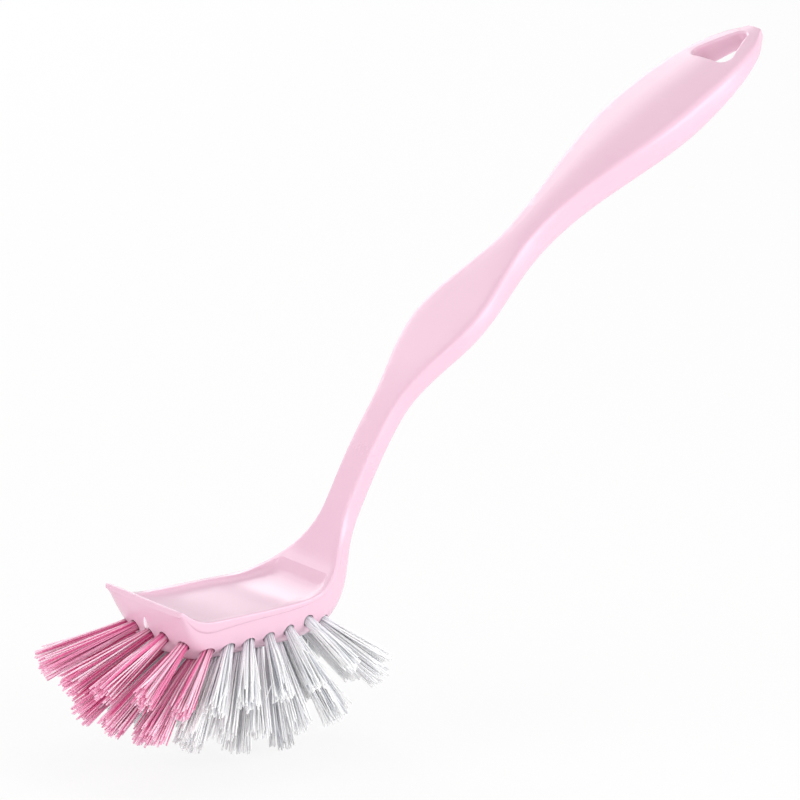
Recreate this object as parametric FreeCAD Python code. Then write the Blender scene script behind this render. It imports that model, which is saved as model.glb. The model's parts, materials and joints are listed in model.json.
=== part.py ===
import FreeCAD, Part
import math
import os

# A dish brush: one moulding with a scoop head, a scraper lip, a bent neck and a paddle grip,
# and tufts of bristle that are folded over flat wire anchors in blind holes under the head.
# Millimetres. While it is built, the lip is at x = 0 and the side rims are at z = 0.
# At the end everything moves to its frame: origin under the middle, on the bristle tips.

Vector = FreeCAD.Vector
os.makedirs("parts", exist_ok=True)

# Head
head_length = 67.0         # lip to the foot of the neck
head_width = 40.8          # over the side walls
head_depth = 17.0          # side rim down to the lowest point of the domed underside
lip_rise = 5.6             # lip above the side rims
rim_wall = 2.2             # width of the rim round the tray
rim_overhang = 0.8         # rim flange beyond the side wall
rim_depth = 2.2            # height of the rim flange at the middle of the head
tray_depth = 2.0           # tray floor below the side rims
edge_round = 0.8           # rounding of the rim's edges

# Neck and grip
foot_rise = 6.9            # foot of the neck above the side rims
handle_run = 183.4         # foot of the neck to the end of the grip, level
handle_rise = 153.2        # and upright
neck_width = 12.4
neck_depth = 8.2
thumb_width = 30.0
thumb_depth = 10.5
waist_width = 13.6
waist_depth = 10.8
grip_width = 36.8
grip_depth = 14.2
end_width = 32.4           # width that the round end of the grip starts from
end_depth = 7.0

# Hanging hole
hang_width = 18.0          # across the base
hang_length = 17.5         # base to tip
hang_wall = 4.6            # plastic left beyond the hole at the end of the grip
hang_round = 3.2           # corners
hang_edge = 0.8            # rounding of its rim on both faces

# Tufts and their anchors
hole_diameter = 4.2
hole_depth = 6.5
edge_inset = 2.0           # outer ring of holes, in from the side wall
lip_inset = 2.7            # in from the lip
heel_inset = 4.0           # and in from the foot of the neck
fan_setback = 47.5         # the point that the tufts fan out from, behind the lip
fan_height = 10.6          # and above the side rims
tuft_clearance = 0.05      # round a tuft in its hole
tuft_collar = 2.5          # straight part of a tuft outside its hole
tuft_length = 36.4         # out of the hole, to the edge of the tips, if it points straight down
front_trim = 1.4           # how much shorter a tuft is that points straight ahead
rear_trim = 7.0            # straight back
side_trim = 20.0           # or straight to a side
tip_crown = 1.5            # middle of the tips beyond their edge
fold_depth = 0.8           # bristle folded between an anchor and the bottom of its hole
anchor_height = 1.6
anchor_thickness = 0.4
anchor_bite = 0.35         # each end of an anchor into the wall of its hole

overrun = 6.0              # how far a cutting shape reaches past what it cuts
wall_gap = 0.05            # how far from a wall an edge may be that counts as lying on it

# Shares of the head at stations from the lip to the middle: of the length, then of half the width,
# depth, lip rise, rim overhang, rim depth and tray depth, which has none at the lip's edge.
# The last is how full the underside is.
head_shares = (
    (0.000, 1.025, 0.10, 0.89, 0.00, 0.20, None, 1.60),
    (0.004, 1.040, 0.27, 0.97, 0.00, 0.30, None, 1.65),
    (0.014, 1.045, 0.48, 1.00, 0.00, 0.50, -0.20, 1.75),
    (0.040, 1.035, 0.68, 0.74, 0.20, 0.90, 0.10, 2.05),
    (0.090, 1.015, 0.85, 0.30, 0.80, 1.40, 0.30, 2.40),
    (0.160, 1.000, 0.95, 0.02, 1.10, 1.70, 0.55, 2.55),
    (0.250, 1.000, 0.99, 0.00, 1.10, 1.50, 0.85, 2.60),
    (0.350, 1.000, 1.00, 0.00, 1.00, 1.20, 1.00, 2.60),
    (0.450, 1.000, 1.00, 0.00, 1.00, 1.05, 1.00, 2.60),
)

# Line of the front face from the middle of the head: shares of head length and foot rise,
# then shares of the handle's run and rise.
bend_shares = ((0.55, 0.0), (0.66, 0.0), (0.77, 0.03), (0.86, 0.17), (0.93, 0.47))
handle_shares = (
    (0.000, 0.000), (0.033, 0.056), (0.060, 0.117), (0.127, 0.259), (0.234, 0.416), (0.364, 0.542),
    (0.574, 0.730), (0.758, 0.864), (1.000, 1.000),
)

# Shares of the length of that line where the handle changes.
flare_share = 0.062
heel_share = 0.075
slim_share = 0.150         # where the depth is down to the neck's
tray_end_share = 0.084     # where the floor of the tray starts to rise
tray_stop_share = 0.112    # and where it is clear of the front face
neck_share = 0.180
neck_end_share = 0.310
thumb_share = 0.452
waist_share = 0.592
grip_share = 0.824
round_share = 0.880        # where the round end of the grip starts

# Shares that shape the sections: places across the flat front, the back's turns in degrees,
# corner rounds and parting heights of neck, thumb rest, waist, grip and end.
crown_place_share = 0.5
crown_drop_share = 0.8
flank_share = 1.30
ledge_shares = (1.06, 1.20)
back_turns = (0, 14, 28, 44, 60, 75)
corner_shares = (0.12, 0.12, 0.14, 0.17, 0.14)
parting_shares = (0.22, 0.24, 0.26)
grip_crown_share = 0.07
flare_width_share = 0.93
heel_depth_share = 1.02
head_fullness = 2.6
neck_fullness = 2.4
end_flat_share = 0.22      # width of the flat that closes the round end
end_drop_share = 0.15      # rounding of that end in side view, of its depth
tray_shares = (0.5, 0.83, 0.6, 0.5, 0.6, 0.5)

stations_along = 44        # from the middle of the head to the round end of the grip
stations_round = 6         # round the end
tray_stations = 22         # from the middle of the head to where the tray stops

# Rings of tufts, from the outside in.
ring_counts = (22, 16, 8)
ring_start_shares = (0.0, 0.5, 0.5)  # of the spacing, from the middle of the front to the first tuft
ring_fullness = (6.0, 3.6, 2.8)
ring_pitch_share = 0.157   # from one ring of holes to the next, of the head's width
ring_steps = 720           # chords that stand for a ring when it is measured
pink_share = 0.27          # front part of the head that has pink tufts
tuft_lobes = 8
lobe_share = 0.84          # depth of the flutes between them
side_lean_share = 1.42     # how much more the tufts lean to the sides than to the front
rear_lean_share = 1.60     # and to the rear
splay_share = 0.083        # how much a tuft widens on each side along its free length

side = Vector(0, 1, 0)


def blend(knots, place):
    # Size at a place between knots, level at every knot.
    if place <= knots[0][0]:
        return knots[0][1]
    for (low, start), (high, end) in zip(knots, knots[1:]):
        if place <= high:
            share = (place - low) / (high - low)
            return start + (end - start) * share * share * (3 - 2 * share)
    return knots[-1][1]


def net_solid(loops):
    # Smooth closed solid over a net of closed loops, with flat ends.
    around = len(loops[0])
    surface = Part.BSplineSurface()
    surface.buildFromPolesMultsKnots(
        loops, [4] + [1] * (len(loops) - 4) + [4], [1] * (around + 1),
        list(range(len(loops) - 2)), list(range(around + 1)), False, True, 3, 3)
    skin = surface.toShape()
    ends = [Part.Face(Part.Wire(edge)) for edge in skin.Edges if edge.isClosed()]
    shell = Part.Shell([skin] + ends)
    shell.sewShape()
    return Part.Solid(shell)


def loop(station, half_outline):
    # Closed loop from half an outline of (across, below) points that starts and ends at the middle.
    origin, down = station
    mirrored = [(-across, below) for across, below in reversed(half_outline[1:-1])]
    return [origin + side * across + down * below for across, below in half_outline + mirrored]


def moulding_outline(half, depth, corner, parting, crown, fullness, overhang, flange):
    # Front face, rounded edge, rim flange and full back of the moulding.
    wide = half + overhang
    flat = wide - corner
    outline = [(0, -crown), (flat * crown_place_share, -crown * crown_drop_share), (flat, 0), (wide, 0)]
    lower = max(parting * flank_share, flange)
    ledge, start = [lower * share for share in ledge_shares]
    outline += [(wide, parting), (wide, lower), (half, ledge)]
    for turn in back_turns:
        across = math.cos(math.radians(turn)) ** (2 / fullness)
        below = math.sin(math.radians(turn)) ** (2 / fullness)
        outline.append((half * across, start + (depth - start) * below))
    return outline + [(0, depth)]


def tray_outline(half, floor):
    # Section of the tray, open at the top, with a floor that curves up into its walls.
    flat_share, bowl_share, wall_share, lean_share, mouth_share, lid_share = tray_shares
    lean = (abs(floor) + edge_round) * lean_share
    return [
        (0, floor), (half * flat_share, floor), (half * bowl_share, floor), (half, floor * wall_share),
        (half + lean * mouth_share, -edge_round), (half + lean, -overrun),
        (half * lid_share, -overrun), (0, -overrun)]


def spine_line():
    # Middle of the front face, from the middle of the head to the end of the grip.
    foot = Vector(head_length, 0, foot_rise)
    points = [Vector(head_length * along, 0, foot_rise * up) for along, up in bend_shares]
    points += [foot + Vector(handle_run * along, 0, handle_rise * up) for along, up in handle_shares]
    curve = Part.BSplineCurve()
    curve.interpolate(points)
    return curve.toShape()


spine = spine_line()


def spine_station(share):
    # Point on the line, and the way from the front face to the back there.
    place = spine.getParameterByLength(spine.Length * share)
    along = spine.tangentAt(place)
    return spine.valueAt(place), Vector(along.z, 0, -along.x)


def handle_sizes(share):
    # Sizes of the moulding's outline at a share of the line.
    neck_corner, thumb_corner, waist_corner, grip_corner, end_corner = corner_shares
    neck_parting, thumb_parting, grip_parting = parting_shares
    width = blend((
        (0, head_width), (flare_share, head_width * flare_width_share), (neck_share, neck_width),
        (neck_end_share, neck_width), (thumb_share, thumb_width), (waist_share, waist_width),
        (grip_share, grip_width), (1, end_width)), share)
    depth = blend((
        (0, head_depth), (heel_share, head_depth * heel_depth_share), (slim_share, neck_depth),
        (neck_end_share, neck_depth),
        (thumb_share, thumb_depth), (waist_share, waist_depth), (grip_share, grip_depth),
        (1, end_depth)), share)
    corner = blend((
        (0, edge_round), (neck_share, neck_width * neck_corner), (thumb_share, thumb_width * thumb_corner),
        (waist_share, waist_width * waist_corner), (grip_share, grip_width * grip_corner),
        (1, end_width * end_corner)), share)
    parting = blend((
        (0, edge_round), (neck_share, neck_depth * neck_parting), (thumb_share, thumb_depth * thumb_parting),
        (grip_share, grip_depth * grip_parting)), share)
    crown = blend(((thumb_share, 0), (grip_share, grip_depth * grip_crown_share)), share)
    fullness = blend(((0, head_fullness), (neck_share, neck_fullness)), share)
    overhang = blend(((flare_share, rim_overhang), (neck_share, 0)), share)
    flange = blend(((0, rim_depth), (neck_share, 0)), share)
    return width / 2, depth, corner, parting, crown, fullness, overhang, flange


def head_loops():
    # Loops of the moulding and of its tray from the lip to the middle of the head.
    outside, tray = [], []
    for along, wide, deep, rise, overhang, flange, floor, fullness in head_shares:
        station = (Vector(head_length * along, 0, lip_rise * rise), Vector(0, 0, -1))
        half = head_width * wide / 2
        outside.append(loop(station, moulding_outline(
            half, head_depth * deep, edge_round, edge_round, 0, fullness,
            rim_overhang * overhang, rim_depth * flange)))
        if floor is not None:
            tray.append(loop(station, tray_outline(half - rim_wall, tray_depth * floor)))
    return outside, tray


def tray_rear():
    # Loops of the tray from the middle of the head to the wall under the neck where it ends.
    loops = []
    for index in range(1, tray_stations + 1):
        share = tray_stop_share * index / tray_stations
        floor = blend(((tray_end_share, tray_depth), (tray_stop_share, -edge_round)), share)
        loops.append(loop(spine_station(share), tray_outline(handle_sizes(share)[0] - rim_wall, floor)))
    return loops


def handle_loops():
    # Loops of the moulding from the middle of the head to the end of the grip.
    outside = []
    for index in range(1, stations_along + 1):
        share = round_share * index / stations_along
        sizes = handle_sizes(share)
        outside.append(loop(spine_station(share), moulding_outline(*sizes)))
    for index in range(1, stations_round + 1):
        turn = math.pi / 2 * index / stations_round
        share = round_share + (1 - round_share) * math.sin(turn)
        half, depth, corner, parting, crown, fullness, overhang, flange = handle_sizes(share)
        shrink = max(math.cos(turn), end_flat_share)
        drop = depth * end_drop_share * (1 - shrink)
        point, down = spine_station(share)
        outside.append(loop((point + down * drop, down), moulding_outline(
            half * shrink, depth - drop * 2, corner * shrink, parting * shrink, crown * shrink,
            fullness, overhang, flange)))
    return outside


def hanging_hole():
    # Rounded triangle through the end of the grip, with its base towards the hand.
    end = spine.Length - hang_wall - hang_round
    base = spine_station((end - hang_length + hang_round * 2) / spine.Length)
    tip = spine_station(end / spine.Length)
    through = (base[1] + tip[1]).normalize()
    reach = side * (hang_width / 2 - hang_round)
    corners = [point - through * overrun for point in (base[0] - reach, base[0] + reach, tip[0])]
    outline = Part.makePolygon(corners + corners[:1]).makeOffset2D(hang_round)
    return Part.Face(outline).extrude(through * (overrun * 2 + grip_depth))


def with_rounded_rim(solid, cutter):
    # The moulding with the edges of its hanging hole rounded, front and back.
    rim = []
    for edge in solid.Edges:
        near = edge.BoundBox.intersect(cutter.BoundBox)
        if near and edge.Curve.TypeId != "Part::GeomLine":
            middle = edge.valueAt((edge.FirstParameter + edge.LastParameter) / 2)
            walls = [face.distToShape(Part.Vertex(middle))[0] for face in cutter.Faces]
            if min(walls) < wall_gap:
                rim.append(edge)
    return solid.makeFillet(hang_edge, rim).Solids[0]


def ring_places(half_length, half_width, fullness, count, start_share):
    # Places round a full oval, evenly spaced along it.
    points = []
    for step in range(ring_steps + 1):
        turn = 2 * math.pi * step / ring_steps
        across, along = math.sin(turn), -math.cos(turn)
        points.append((
            half_length * math.copysign(abs(along) ** (2 / fullness), along),
            half_width * math.copysign(abs(across) ** (2 / fullness), across)))
    walked = [0]
    for start, end in zip(points, points[1:]):
        walked.append(walked[-1] + math.dist(start, end))
    places = []
    for index in range(count):
        wanted = walked[-1] * (index + start_share) / count
        step = max(place for place, length in enumerate(walked) if length <= wanted)
        share = (wanted - walked[step]) / (walked[step + 1] - walked[step])
        places.append([low + (high - low) * share for low, high in zip(points[step], points[step + 1])])
    return places


def tuft_places(solid):
    # Mouth and direction of every tuft, ring by ring, each found under the head.
    front, rear = lip_inset, head_length - heel_inset
    fan = Vector(fan_setback, 0, fan_height)
    found = []
    for ring, count in enumerate(ring_counts):
        inward = head_width * ring_pitch_share * ring
        half_length = (rear - front) / 2 - inward
        half_width = head_width / 2 - edge_inset - inward
        oval = (half_length, half_width, ring_fullness[ring], count, ring_start_shares[ring])
        for along, across in ring_places(*oval):
            x = (front + rear) / 2 + along
            plumb = Part.makeLine(Vector(x, across, -head_depth - overrun), Vector(x, across, head_depth))
            inside = plumb.common(solid)
            mouth = Vector(x, across, min(vertex.Z for vertex in inside.Vertexes))
            lean = mouth - fan
            ahead = lean.x * (rear_lean_share if lean.x > 0 else 1)
            found.append((mouth, Vector(ahead, lean.y * side_lean_share, lean.z).normalize()))
    return found


def star(centre, out, radius):
    # Fluted outline of a tuft at one place along it.
    first = out.cross(side).normalize()
    second = out.cross(first)
    points = []
    for index in range(tuft_lobes * 2):
        turn = math.pi * index / tuft_lobes
        reach = radius * (lobe_share if index % 2 else 1)
        points.append(centre + first * (reach * math.cos(turn)) + second * (reach * math.sin(turn)))
    return points


def tuft_solid(mouth, out):
    # Bundle of bristle from the bottom of its hole: straight, then flared, with a crowned end.
    root = hole_diameter / 2 - tuft_clearance
    ahead = rear_trim * out.x if out.x > 0 else -front_trim * out.x
    length = tuft_length - ahead - side_trim * out.y ** 2
    tip = root + (length - tuft_collar) * splay_share
    levels = [
        star(mouth - out * hole_depth, out, root), star(mouth + out * tuft_collar, out, root),
        star(mouth + out * length, out, tip)]
    crown = mouth + out * (length + tip_crown)
    faces = [Part.Face(Part.makePolygon(levels[0] + levels[0][:1]))]
    for low, high in zip(levels, levels[1:]):
        for index in range(len(low)):
            corners = [low[index - 1], low[index], high[index], high[index - 1]]
            faces.append(Part.Face(Part.makePolygon(corners + corners[:1])))
    for index in range(len(levels[-1])):
        corners = [levels[-1][index - 1], levels[-1][index], crown]
        faces.append(Part.Face(Part.makePolygon(corners + corners[:1])))
    shell = Part.Shell(faces)
    shell.sewShape()
    return Part.Solid(shell)


def hole_solid(mouth, out):
    return Part.makeCylinder(hole_diameter / 2, hole_depth + overrun, mouth - out * hole_depth, out)


def anchor_solid(mouth, out):
    # Flat wire across a hole, its ends pressed into the wall.
    across = out.cross(side).normalize()
    through = out.cross(across)
    half = hole_diameter / 2 + anchor_bite
    base = mouth - out * (hole_depth - fold_depth) - through * (anchor_thickness / 2)
    corners = [
        base - across * half, base + across * half, base + across * half + out * anchor_height,
        base - across * half + out * anchor_height]
    return Part.Face(Part.makePolygon(corners + corners[:1])).extrude(through * anchor_thickness)


head_outside, head_tray = head_loops()
moulding = net_solid(head_outside + handle_loops())
places = tuft_places(moulding)
anchors = [anchor_solid(mouth, out) for mouth, out in places]
holes = [hole_solid(mouth, out) for mouth, out in places]
hang_cutter = hanging_hole()
body = moulding.cut([net_solid(head_tray + tray_rear()), hang_cutter] + holes + anchors)

nodes = {
    "brush_body": with_rounded_rim(body.Solids[0], hang_cutter),
    "tuft_anchors": Part.makeCompound(anchors)}
for (mouth, out), anchor in zip(places, anchors):
    colour = "pink" if mouth.x < head_length * pink_share else "white"
    number = sum(name.startswith("tuft_" + colour) for name in nodes) + 1
    nodes["tuft_%s_%02d" % (colour, number)] = tuft_solid(mouth, out).cut(anchor)

box = Part.makeCompound(list(nodes.values())).optimalBoundingBox(False, False)
move = Vector(-(box.XMin + box.XMax) / 2, -(box.YMin + box.YMax) / 2, -box.ZMin)
for name, shape in nodes.items():
    shape.translate(move)
    shape.exportStep("parts/%s.step" % name)
print(len(nodes), "nodes, all valid:", all(shape.isValid() for shape in nodes.values()))
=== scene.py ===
import json
import math
import random

import bmesh
import bpy
from mathutils import Matrix, Vector

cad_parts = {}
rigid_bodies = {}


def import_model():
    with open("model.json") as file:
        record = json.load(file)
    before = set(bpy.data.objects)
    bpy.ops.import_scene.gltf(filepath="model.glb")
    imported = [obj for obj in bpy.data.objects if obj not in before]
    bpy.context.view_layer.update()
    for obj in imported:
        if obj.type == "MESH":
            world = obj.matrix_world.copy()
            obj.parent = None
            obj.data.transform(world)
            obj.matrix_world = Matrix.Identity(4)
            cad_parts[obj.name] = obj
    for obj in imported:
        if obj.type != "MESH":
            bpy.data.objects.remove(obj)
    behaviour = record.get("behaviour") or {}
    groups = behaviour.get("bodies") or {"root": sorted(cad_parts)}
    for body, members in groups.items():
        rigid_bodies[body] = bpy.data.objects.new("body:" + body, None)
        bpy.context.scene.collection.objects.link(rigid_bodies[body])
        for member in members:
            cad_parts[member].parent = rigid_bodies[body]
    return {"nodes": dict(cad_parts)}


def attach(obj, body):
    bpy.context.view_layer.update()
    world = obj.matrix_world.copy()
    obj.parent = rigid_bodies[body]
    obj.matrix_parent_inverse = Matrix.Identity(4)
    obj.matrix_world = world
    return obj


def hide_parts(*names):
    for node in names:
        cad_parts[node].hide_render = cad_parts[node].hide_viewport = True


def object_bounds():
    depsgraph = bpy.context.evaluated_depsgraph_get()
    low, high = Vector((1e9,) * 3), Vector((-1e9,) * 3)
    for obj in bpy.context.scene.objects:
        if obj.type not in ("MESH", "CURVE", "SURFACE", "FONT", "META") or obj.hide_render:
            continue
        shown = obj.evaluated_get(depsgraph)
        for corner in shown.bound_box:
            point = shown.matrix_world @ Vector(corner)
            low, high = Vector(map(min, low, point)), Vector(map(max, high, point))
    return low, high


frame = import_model()
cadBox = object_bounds()
nodes = frame["nodes"]
scene = bpy.context.scene
mm = 0.001
print("frame:", len(nodes), "nodes")


# small helpers for shader nodes

noiseMiddle = 0.5


def newMaterial(name):
    mat = bpy.data.materials.new(name)
    mat.use_nodes = True
    tree = mat.node_tree
    tree.nodes.clear()
    output = tree.nodes.new("ShaderNodeOutputMaterial")
    return mat, tree, output


def principled(tree, output, settings):
    shader = tree.nodes.new("ShaderNodeBsdfPrincipled")
    for socket, value in settings.items():
        shader.inputs[socket].default_value = value
    tree.links.new(shader.outputs["BSDF"], output.inputs["Surface"])
    return shader


def newGroup(name, inputs, outputs):
    tree = bpy.data.node_groups.new(name, "ShaderNodeTree")
    for way, sockets in (("INPUT", inputs), ("OUTPUT", outputs)):
        for socket in sockets:
            tree.interface.new_socket(socket, in_out=way, socket_type="NodeSocketFloat")
    return tree, tree.nodes.new("NodeGroupInput"), tree.nodes.new("NodeGroupOutput")


def useGroup(tree, group, settings):
    node = tree.nodes.new("ShaderNodeGroup")
    node.node_tree = group
    for socket, value in settings.items():
        node.inputs[socket].default_value = value
    return node


def feed(tree, socket, value):
    # a plain value is set, the output of another node is linked
    if isinstance(value, (int, float, tuple)):
        socket.default_value = value
    else:
        tree.links.new(value, socket)


def noiseAt(tree, vector, scale, detail, rough=0.5):
    noise = tree.nodes.new("ShaderNodeTexNoise")
    noise.inputs["Detail"].default_value = detail
    noise.inputs["Roughness"].default_value = rough
    tree.links.new(vector, noise.inputs["Vector"])
    feed(tree, noise.inputs["Scale"], scale)
    return noise.outputs["Fac"]


def mathNode(tree, kind, a, b, clamp=False):
    node = tree.nodes.new("ShaderNodeMath")
    node.operation = kind
    node.use_clamp = clamp
    feed(tree, node.inputs[0], a)
    feed(tree, node.inputs[1], b)
    return node.outputs[0]


def spread(tree, value, low, high):
    node = tree.nodes.new("ShaderNodeMapRange")
    tree.links.new(value, node.inputs["Value"])
    node.inputs["To Min"].default_value = low
    node.inputs["To Max"].default_value = high
    return node.outputs["Result"]


def mixColour(tree, factor, first, second):
    # sockets 6 and 7 are the two colours of a mix, and output 2 is its colour
    node = tree.nodes.new("ShaderNodeMix")
    node.data_type = "RGBA"
    for index, value in ((0, factor), (6, first), (7, second)):
        feed(tree, node.inputs[index], value)
    return node.outputs[2]


def bumpFrom(tree, height, distance, strength, shader):
    bump = tree.nodes.new("ShaderNodeBump")
    bump.inputs["Distance"].default_value = distance
    bump.inputs["Strength"].default_value = strength
    tree.links.new(height, bump.inputs["Height"])
    tree.links.new(bump.outputs["Normal"], shader.inputs["Normal"])


def srgb(red, green, blue):
    def linear(c):
        c = c / 255
        return c / 12.92 if c <= 0.04045 else ((c + 0.055) / 1.055) ** 2.4
    return (linear(red), linear(green), linear(blue), 1.0)


# moulded surface: cloudy tint, orange peel and fine marks, polished at low x, satin at high x

moulded = {
    "cloudDetail": 3.0,
    "peelDetail": 2.0,
    "markTurn": math.radians(40.0),
    "markScale": (60.0, 1400.0, 1400.0),
    "markDetail": 2.0,
    "markRough": 0.7,
    "cloudWear": 0.6,                # shares of the clouds and marks in the rubbed look
    "markWear": 0.4,
    "markHeight": 0.1,
}


def mouldedSurface(s):
    tree, given, out = newGroup(
        "mouldedSurface",
        ("Cloud Scale", "Peel Scale", "Polished", "Satin", "Polish End", "Satin Start", "Rubbed"),
        ("Cloud", "Roughness", "Height"))
    place = tree.nodes.new("ShaderNodeTexCoord").outputs["Object"]
    cloud = noiseAt(tree, place, given.outputs["Cloud Scale"], s["cloudDetail"])
    peel = noiseAt(tree, place, given.outputs["Peel Scale"], s["peelDetail"])
    stretch = tree.nodes.new("ShaderNodeMapping")
    stretch.inputs["Rotation"].default_value = (0.0, s["markTurn"], 0.0)
    stretch.inputs["Scale"].default_value = s["markScale"]
    tree.links.new(place, stretch.inputs["Vector"])
    marks = noiseAt(tree, stretch.outputs["Vector"], 1.0, s["markDetail"], s["markRough"])
    parts = tree.nodes.new("ShaderNodeSeparateXYZ")
    tree.links.new(place, parts.inputs["Vector"])
    finish = tree.nodes.new("ShaderNodeMapRange")
    tree.links.new(parts.outputs["X"], finish.inputs["Value"])
    for socket, name in (("From Min", "Polish End"), ("From Max", "Satin Start"),
                         ("To Min", "Polished"), ("To Max", "Satin")):
        tree.links.new(given.outputs[name], finish.inputs[socket])
    cloudPart = mathNode(tree, "MULTIPLY", cloud, s["cloudWear"])
    markPart = mathNode(tree, "MULTIPLY", marks, s["markWear"])
    wear = mathNode(tree, "ADD", cloudPart, markPart)
    wear = mathNode(tree, "SUBTRACT", wear, noiseMiddle)
    wear = mathNode(tree, "MULTIPLY", wear, given.outputs["Rubbed"])
    rough = mathNode(tree, "ADD", finish.outputs["Result"], wear, clamp=True)
    height = mathNode(tree, "ADD", peel, mathNode(tree, "MULTIPLY", marks, s["markHeight"]))
    tree.links.new(cloud, out.inputs["Cloud"])
    tree.links.new(rough, out.inputs["Roughness"])
    tree.links.new(height, out.inputs["Height"])
    return tree


# tone of one strand from its own map: u is a tone drawn for it, v runs from root to cut end and
# sets a painted shade near the root and a painted highlight near the cut end

strandLook = {
    "fleckScale": 900.0,
    "fleckDetail": 2.0,
    "tipFrom": 0.9,                  # where along the strand the painted highlight at its end starts
    "roughLow": 0.2,
    "roughHigh": 0.4,
}


def strandToneAndPaintedLight(s):
    tree, given, out = newGroup(
        "strandToneAndPaintedLight",
        ("Painted Root Shade", "Painted Shade Reach", "Painted Tip Highlight", "Fleck"),
        ("Tone", "Root", "Tip", "Roughness", "Height"))
    uv = tree.nodes.new("ShaderNodeUVMap")
    uv.uv_map = "strand"
    parts = tree.nodes.new("ShaderNodeSeparateXYZ")
    tree.links.new(uv.outputs["UV"], parts.inputs["Vector"])
    tone, along = parts.outputs["X"], parts.outputs["Y"]
    place = tree.nodes.new("ShaderNodeTexCoord").outputs["Object"]
    fleck = noiseAt(tree, place, s["fleckScale"], s["fleckDetail"])
    swing = mathNode(tree, "SUBTRACT", fleck, noiseMiddle)
    swing = mathNode(tree, "MULTIPLY", swing, given.outputs["Fleck"])
    mottle = mathNode(tree, "ADD", tone, swing, clamp=True)
    # painted shade: strongest at the root, fading out along the strand
    fromRoot = mathNode(tree, "DIVIDE", along, given.outputs["Painted Shade Reach"])
    fromRoot = mathNode(tree, "SUBTRACT", 1.0, fromRoot, clamp=True)
    root = mathNode(tree, "MULTIPLY", fromRoot, given.outputs["Painted Root Shade"])
    # painted highlight over the last part of the strand, up to its cut end
    nearTip = mathNode(tree, "SUBTRACT", along, s["tipFrom"], clamp=True)
    nearTip = mathNode(tree, "MULTIPLY", nearTip, 1.0 / (1.0 - s["tipFrom"]), clamp=True)
    tip = mathNode(tree, "MULTIPLY", nearTip, given.outputs["Painted Tip Highlight"])
    tree.links.new(mottle, out.inputs["Tone"])
    tree.links.new(root, out.inputs["Root"])
    tree.links.new(tip, out.inputs["Tip"])
    tree.links.new(spread(tree, fleck, s["roughLow"], s["roughHigh"]), out.inputs["Roughness"])
    tree.links.new(fleck, out.inputs["Height"])
    return tree


mouldedGroup = mouldedSurface(moulded)
strandGroup = strandToneAndPaintedLight(strandLook)


# body plastic

bodyFinish = {
    "pink": srgb(228, 187, 206),
    "palePink": srgb(232, 193, 211),
    "ior": 1.49,
    "specular": 0.5,
    "cloudScale": 45.0,
    "peelScale": 1100.0,
    "polished": 0.18,                # tray, lip and rim
    "satin": 0.3,                    # neck and grip
    "polishEnd": -50.0 * mm,
    "satinStart": -15.0 * mm,
    "rubbed": 0.06,
    "peelDeep": 0.012 * mm,
    "peelStrength": 0.1,
}


def bodyPlastic(name, s):
    mat, tree, output = newMaterial(name)
    shader = principled(tree, output, {"IOR": s["ior"], "Specular IOR Level": s["specular"]})
    surface = useGroup(tree, mouldedGroup, {
        "Cloud Scale": s["cloudScale"], "Peel Scale": s["peelScale"],
        "Polished": s["polished"], "Satin": s["satin"], "Rubbed": s["rubbed"],
        "Polish End": s["polishEnd"], "Satin Start": s["satinStart"]})
    colour = mixColour(tree, surface.outputs["Cloud"], s["pink"], s["palePink"])
    tree.links.new(colour, shader.inputs["Base Color"])
    tree.links.new(surface.outputs["Roughness"], shader.inputs["Roughness"])
    bumpFrom(tree, surface.outputs["Height"], s["peelDeep"], s["peelStrength"], shader)
    return mat


body = nodes["brush_body"]
body.material_slots[0].material = bodyPlastic("bodyPlastic", bodyFinish)
print("body: plastic on")


# pip where the moulding was filled, on the middle of the front face

# the pip's paler pinks are a painted highlight, standing in for the light the small nub catches
pipPaintedHighlightFinish = dict(bodyFinish, pink=srgb(250, 232, 241), palePink=srgb(255, 246, 250), polished=0.3)
pip = {
    "middle": 50.0 * mm,             # height of its middle
    "across": 2.7 * mm,
    "tall": 4.4 * mm,
    "proud": 1.1 * mm,
    "taper": 0.7,
    "rings": 12,
    "around": 16,
    "ahead": 10.0 * mm,              # the face is looked for from this far before the part
}


def makePip(s):
    start = Vector((cadBox[0][0] - s["ahead"], 0.0, s["middle"]))
    foot, normal = body.ray_cast(start, Vector((1.0, 0.0, 0.0)))[1:3]
    up = (Vector((0.0, 0.0, 1.0)) - normal * normal.z).normalized()
    sideways = up.cross(normal)
    half = 0.5                       # of a ball one unit across
    bm = bmesh.new()
    bmesh.ops.create_uvsphere(bm, u_segments=s["around"], v_segments=s["rings"], radius=half)
    for vert in bm.verts:
        narrow = 1.0 - s["taper"] * (vert.co.z + half)
        vert.co.x *= narrow
        vert.co.y *= narrow
    bmesh.ops.scale(bm, verts=bm.verts, vec=(s["proud"] * 2, s["across"], s["tall"]))
    turn = Matrix((normal, sideways, up)).transposed().to_4x4()
    bmesh.ops.transform(bm, verts=bm.verts, matrix=Matrix.Translation(foot) @ turn)
    bmesh.ops.recalc_face_normals(bm, faces=bm.faces)
    for face in bm.faces:
        face.smooth = True
    mesh = bpy.data.meshes.new("fillingPip")
    bm.to_mesh(mesh)
    bm.free()
    mesh.materials.append(bodyPlastic("pipPaintedHighlightPlastic", pipPaintedHighlightFinish))
    piece = bpy.data.objects.new("fillingPip", mesh)
    scene.collection.objects.link(piece)
    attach(piece, "root")
    print("pip at", [round(c / mm, 1) for c in foot])


makePip(pip)


# anchors, flat wire inside the head

anchorFinish = {
    "steel": srgb(196, 198, 202),
    "dullSteel": srgb(158, 160, 166),
    "drawn": (300.0, 300.0, 4000.0),
    "lineDetail": 3.0,
    "roughLow": 0.25,
    "roughHigh": 0.45,
    "lineDeep": 0.01 * mm,
    "lineStrength": 0.4,
}


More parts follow.
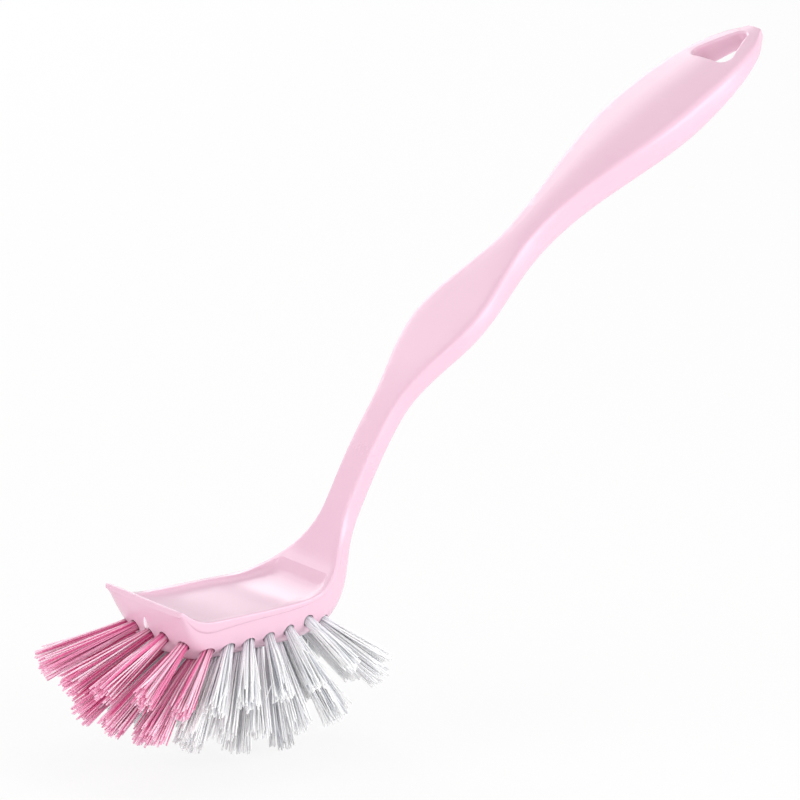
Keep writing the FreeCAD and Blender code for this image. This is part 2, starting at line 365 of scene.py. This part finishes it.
def anchorSteel(s):
    mat, tree, output = newMaterial("anchorSteel")
    shader = principled(tree, output, {"Metallic": 1.0})
    place = tree.nodes.new("ShaderNodeTexCoord").outputs["Object"]
    drawn = tree.nodes.new("ShaderNodeMapping")
    drawn.inputs["Scale"].default_value = s["drawn"]
    tree.links.new(place, drawn.inputs["Vector"])
    lines = noiseAt(tree, drawn.outputs["Vector"], 1.0, s["lineDetail"])
    colour = mixColour(tree, lines, s["steel"], s["dullSteel"])
    rough = spread(tree, lines, s["roughLow"], s["roughHigh"])
    tree.links.new(colour, shader.inputs["Base Color"])
    tree.links.new(rough, shader.inputs["Roughness"])
    bumpFrom(tree, lines, s["lineDeep"], s["lineStrength"], shader)
    return mat


nodes["tuft_anchors"].material_slots[0].material = anchorSteel(anchorFinish)
print("anchors: steel on")


# bristles

bristleFinish = {
    "ior": 1.5,
    "specular": 0.6,
    # strength and reach of the painted shade near the root
    "paintedRootShadeAmount": 0.4,
    "paintedShadeReach": 0.35,
    "fleck": 0.06,
    "fleckDeep": 0.02 * mm,
    "fleckStrength": 0.3,
}
pinkFinish = {
    **bristleFinish,
    "name": "pinkBristle",
    # each strand draws its tone at random; the dark low end is painted shade between strands and
    # the pale high end a painted highlight
    "tonesWithPaintedLight": ((0.0, srgb(198, 44, 112)), (0.18, srgb(232, 112, 164)),
              (0.55, srgb(248, 168, 203)), (1.0, srgb(255, 226, 239))),
    # painted shade near the root: deep magenta, standing in for shade among crowded strands
    "paintedRootShade": srgb(206, 40, 116),
    # painted highlight towards the cut end
    "paintedTipHighlight": srgb(255, 206, 227),
    "paintedTipHighlightAmount": 0.4,
}
whiteFinish = {
    **bristleFinish,
    "name": "whiteBristle",
    # each strand draws its tone at random; the grey low end is painted shade between strands, the
    # white high end is the strands' own colour
    "tonesWithPaintedLight": ((0.0, srgb(192, 195, 203)), (0.2, srgb(240, 241, 244)),
              (0.6, srgb(252, 252, 253)), (1.0, srgb(255, 255, 255))),
    # painted shade near the root: greyish lavender, standing in for shade among crowded strands
    # and pink light from the head
    "paintedRootShade": srgb(206, 204, 219),
    # painted highlight towards the cut end
    "paintedTipHighlight": srgb(255, 255, 255),
    "paintedTipHighlightAmount": 0.5,
}


def bristlePlastic(s):
    mat, tree, output = newMaterial(s["name"])
    shader = principled(tree, output, {"IOR": s["ior"], "Specular IOR Level": s["specular"]})
    strand = useGroup(tree, strandGroup, {
        "Painted Root Shade": s["paintedRootShadeAmount"], "Painted Shade Reach": s["paintedShadeReach"],
        "Painted Tip Highlight": s["paintedTipHighlightAmount"], "Fleck": s["fleck"]})
    ramp = tree.nodes.new("ShaderNodeValToRGB")
    stops = ramp.color_ramp.elements
    for tone in s["tonesWithPaintedLight"][1:-1]:
        stops.new(tone[0])
    for stop, (place, colour) in zip(stops, s["tonesWithPaintedLight"]):
        stop.position = place
        stop.color = colour
    tree.links.new(strand.outputs["Tone"], ramp.inputs["Fac"])
    # painted shade near the root, then a painted highlight towards the cut end
    colour = mixColour(tree, strand.outputs["Root"], ramp.outputs["Color"], s["paintedRootShade"])
    colour = mixColour(tree, strand.outputs["Tip"], colour, s["paintedTipHighlight"])
    tree.links.new(colour, shader.inputs["Base Color"])
    tree.links.new(strand.outputs["Roughness"], shader.inputs["Roughness"])
    bumpFrom(tree, strand.outputs["Height"], s["fleckDeep"], s["fleckStrength"], shader)
    return mat


bristles = {
    "heart": Vector((-63.0, 0.0, 63.8)) * mm,  # in the head, about where the tufts' lines meet
    "crownPoints": 17,               # corners of a packed tuft at its free end
    "holeDeep": 6.5 * mm,
    "perTuft": 50,
    "strandWide": 0.56 * mm,
    "thickness": (0.9, 1.1),         # shares of that width
    "sides": 5,
    "cuts": 4,
    "sunk": 3.0 * mm,
    "packWide": 3.6 * mm,
    "turnLoose": 0.25,
    "clumps": 7,                     # groups of strands that lean together
    "clumpLoose": 0.5 * mm,
    "tipLoose": 0.3 * mm,
    "bow": 0.25 * mm,
    "trim": 0.5 * mm,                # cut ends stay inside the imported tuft's crown
    "dome": 1.2 * mm,
    "uneven": 1.3 * mm,
    "shortShare": 0.16,
    "shortBy": (1.5 * mm, 5.5 * mm),
    "strayShare": 0.025,
    "strayBy": 4.0 * mm,
    "strayFrom": 0.45,               # where along the strand it starts to part from the rest
    "strayCurve": 1.5,
    "kinkShare": 0.008,
    "kinkBy": 7.0 * mm,
    "kinkFrom": 0.55,
    "seed": 41,
}
goldenTurn = math.pi * (3.0 - math.sqrt(5.0))


def strandShape(s):
    # one unit tall, standing on the origin, with smooth sides and flat ends
    half = 0.5
    bm = bmesh.new()
    bmesh.ops.create_cone(bm, cap_ends=True, segments=s["sides"], depth=1.0,
                          radius1=s["strandWide"] / 2, radius2=s["strandWide"] / 2)
    bmesh.ops.translate(bm, verts=bm.verts, vec=(0.0, 0.0, half))
    upright = [e for e in bm.edges if abs(e.verts[0].co.z - e.verts[1].co.z) > half]
    bmesh.ops.subdivide_edges(bm, edges=upright, cuts=s["cuts"], use_grid_fill=True)
    for face in bm.faces:
        face.smooth = len(face.verts) == 4
    mesh = bpy.data.meshes.new("strandShape")
    bm.to_mesh(mesh)
    bm.free()
    return mesh


def average(points):
    return sum(points, Vector()) / len(points)


def tuftLine(node):
    # mouth, direction, free length and half width of a packed tuft, read from its solid
    s = bristles
    # a corner that several faces share counts once
    corners = {tuple(round(c, 6) for c in v.co): v.co.copy() for v in node.data.vertices}
    corners = list(corners.values())
    middle = average(corners)
    roughly = (middle - s["heart"]).normalized()
    corners.sort(key=roughly.dot)
    crown = corners[-s["crownPoints"]:]
    out = (average(crown) - middle).normalized()
    heights = [(p - middle).dot(out) for p in corners]
    mouth = middle + out * (min(heights) + s["holeDeep"])
    reach = max(heights) - min(heights) - s["holeDeep"]
    wide = max(((p - middle) - out * (p - middle).dot(out)).length for p in crown)
    return mouth, out, reach, wide


def addTuft(bm, uvLayer, shape, node, draw):
    s = bristles
    mouth, out, reach, wide = tuftLine(node)
    side = out.orthogonal().normalized()
    lift = out.cross(side)

    def loosely(amount):
        return side * draw.gauss(0.0, amount) + lift * draw.gauss(0.0, amount)

    # strands are packed as seeds are in a sunflower
    turn = draw.uniform(0.0, math.tau)
    leans = [loosely(s["clumpLoose"]) for clump in range(s["clumps"])]
    for index in range(s["perTuft"]):
        ring = math.sqrt((index + 0.5) / s["perTuft"])
        angle = turn + index * goldenTurn + draw.uniform(-s["turnLoose"], s["turnLoose"])
        across = side * math.cos(angle) + lift * math.sin(angle)
        clump = int(angle / math.tau * s["clumps"]) % s["clumps"]
        packed = across * ring * (s["packWide"] - s["strandWide"]) / 2
        opened = across * ring * (wide - s["strandWide"] / 2)
        opened = opened + leans[clump] + loosely(s["tipLoose"])
        bow = loosely(s["bow"])
        length = reach - s["trim"] - s["dome"] * ring ** 2 - abs(draw.gauss(0.0, s["uneven"]))
        if draw.random() < s["shortShare"]:
            length -= draw.uniform(*s["shortBy"])
        stray = loosely(s["strayBy"]) if draw.random() < s["strayShare"] else Vector()
        kink = loosely(s["kinkBy"]) if draw.random() < s["kinkShare"] else Vector()
        thick = draw.uniform(*s["thickness"])
        tone = draw.random()
        firstVert, firstFace = len(bm.verts), len(bm.faces)
        bm.from_mesh(shape)
        bm.verts.ensure_lookup_table()
        bm.faces.ensure_lookup_table()
        whole = s["sunk"] + length
        for vert in bm.verts[firstVert:]:
            along = vert.co.z * whole - s["sunk"]
            far = max(0.0, along) / length
            line = packed.lerp(opened, far) + bow * math.sin(math.pi * far)
            line += stray * max(0.0, far - s["strayFrom"]) ** s["strayCurve"]
            line += kink * max(0.0, far - s["kinkFrom"])
            skin = (side * vert.co.x + lift * vert.co.y) * thick
            vert.co = mouth + out * along + line + skin
        for face in bm.faces[firstFace:]:
            for loop in face.loops:
                height = (loop.vert.co - mouth).dot(out)
                loop[uvLayer].uv = (tone, min(1.0, max(0.0, height / length)))


def bristlePiece(name, members, mat, shape, draw):
    whole = bmesh.new()
    whole.loops.layers.uv.new("strand")
    for member in members:
        bm = bmesh.new()
        layer = bm.loops.layers.uv.new("strand")
        addTuft(bm, layer, shape, nodes[member], draw)
        part = bpy.data.meshes.new("tuftPart")
        bm.to_mesh(part)
        bm.free()
        whole.from_mesh(part)
        bpy.data.meshes.remove(part)
    mesh = bpy.data.meshes.new(name)
    whole.to_mesh(mesh)
    whole.free()
    mesh.materials.append(mat)
    piece = bpy.data.objects.new(name, mesh)
    scene.collection.objects.link(piece)
    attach(piece, "root")
    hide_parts(*members)
    print(name + ":", len(members), "tufts,", len(mesh.polygons), "faces")


def named(kind, first, last):
    return ["tuft_%s_%02d" % (kind, number) for number in range(first, last + 1)]


draw = random.Random(bristles["seed"])
strand = strandShape(bristles)
pinkMat = bristlePlastic(pinkFinish)
whiteMat = bristlePlastic(whiteFinish)
bristlePiece("pinkOuterRing", named("pink", 1, 7), pinkMat, strand, draw)
bristlePiece("pinkMiddleRing", named("pink", 8, 11), pinkMat, strand, draw)
bristlePiece("pinkInnerRing", named("pink", 12, 13), pinkMat, strand, draw)
bristlePiece("whiteOuterRing", named("white", 1, 15), whiteMat, strand, draw)
bristlePiece("whiteMiddleRing", named("white", 16, 27), whiteMat, strand, draw)
bristlePiece("whiteInnerRing", named("white", 28, 33), whiteMat, strand, draw)


# floor, light and camera

stage = {
    "floorHalf": 6.0,
    "floorColour": (0.93, 0.93, 0.93, 1.0),
    "floorWhiteShare": 0.86,         # of plain white where the floor is looked at
    "worldColour": (1.0, 1.0, 1.0, 1.0),
    "worldLight": 0.38,
    "worldSeen": 1.0,
}


def seenRays(tree):
    # one where the background is looked at, straight or in a reflection
    rays = tree.nodes.new("ShaderNodeLightPath").outputs
    seen = mathNode(tree, "MAXIMUM", rays["Is Camera Ray"], rays["Is Glossy Ray"])
    return mathNode(tree, "MAXIMUM", seen, rays["Is Transmission Ray"])


def makeFloor(s):
    bm = bmesh.new()
    bmesh.ops.create_grid(bm, x_segments=2, y_segments=2, size=s["floorHalf"])
    mesh = bpy.data.meshes.new("floor")
    bm.to_mesh(mesh)
    bm.free()
    floor = bpy.data.objects.new("floor", mesh)
    scene.collection.objects.link(floor)
    mat, tree, output = newMaterial("paleFloor")
    plain = tree.nodes.new("ShaderNodeBsdfDiffuse")
    plain.inputs["Color"].default_value = s["floorColour"]
    white = tree.nodes.new("ShaderNodeEmission")
    seen = mathNode(tree, "MULTIPLY", seenRays(tree), s["floorWhiteShare"])
    mix = tree.nodes.new("ShaderNodeMixShader")
    tree.links.new(seen, mix.inputs["Fac"])
    tree.links.new(plain.outputs["BSDF"], mix.inputs[1])
    tree.links.new(white.outputs["Emission"], mix.inputs[2])
    tree.links.new(mix.outputs["Shader"], output.inputs["Surface"])
    mesh.materials.append(mat)


def makeWorld(s):
    world = bpy.data.worlds.new("studio")
    world.use_nodes = True
    tree = world.node_tree
    back = tree.nodes["Background"]
    strength = spread(tree, seenRays(tree), s["worldLight"], s["worldSeen"])
    tree.links.new(strength, back.inputs["Strength"])
    back.inputs["Color"].default_value = s["worldColour"]
    scene.world = world


view = {
    "turn": -36.5,                   # degrees
    "rise": 15.7,
    "target": Vector((-7.093, 0.0, 107.631)) * mm,
    "away": 2.85,
    "lens": 391.2,
    "sensor": 36.0,
    "clipEnd": 50.0,
}


def viewAxes(s):
    a, e = math.radians(s["turn"]), math.radians(s["rise"])
    right = Vector((math.cos(a), math.sin(a), 0.0))
    up = Vector((-math.sin(a) * math.sin(e), math.cos(a) * math.sin(e), math.cos(e)))
    return right, up, right.cross(up)


def makeCamera(s):
    right, up, back = viewAxes(s)
    data = bpy.data.cameras.new("photoView")
    data.lens = s["lens"]
    data.sensor_width = s["sensor"]
    data.clip_end = s["clipEnd"]
    camera = bpy.data.objects.new("photoView", data)
    turn = Matrix((right, up, back)).transposed().to_4x4()
    camera.matrix_world = Matrix.Translation(s["target"] + back * s["away"]) @ turn
    scene.collection.objects.link(camera)
    scene.camera = camera


# places are to the right, up and towards the camera from the view's target, in metres
lamps = {
    "rightSoft": {"place": (1.35, -0.05, 0.6), "size": 1.4, "power": 20.5},
    "leftSoft": {"place": (-1.35, 0.1, 0.65), "size": 1.4, "power": 11.0},
    "backSoft": {"place": (-0.78, 1.05, -1.16), "size": 1.6, "tall": 1.0, "power": 11.5},
    "topSoft": {"place": (0.2, 1.5, 0.3), "size": 1.4, "power": 6.0},
    "frontLow": {"place": (0.0, -0.25, 1.5), "size": 1.4, "power": 9.0},
}


def makeLamps(settings):
    right, up, back = viewAxes(view)
    for name, s in settings.items():
        data = bpy.data.lights.new(name, "AREA")
        data.shape = "RECTANGLE" if "tall" in s else "DISK"
        data.size = s["size"]
        data.size_y = s.get("tall", s["size"])
        data.energy = s["power"]
        lamp = bpy.data.objects.new(name, data)
        x, y, z = s["place"]
        place = view["target"] + right * x + up * y + back * z
        aim = (place - view["target"]).to_track_quat("Z", "Y")
        lamp.matrix_world = Matrix.Translation(place) @ aim.to_matrix().to_4x4()
        lamp.visible_camera = False
        scene.collection.objects.link(lamp)


makeFloor(stage)
makeWorld(stage)
makeCamera(view)
makeLamps(lamps)
scene.view_settings.view_transform = "Standard"
print("floor, light and camera set")
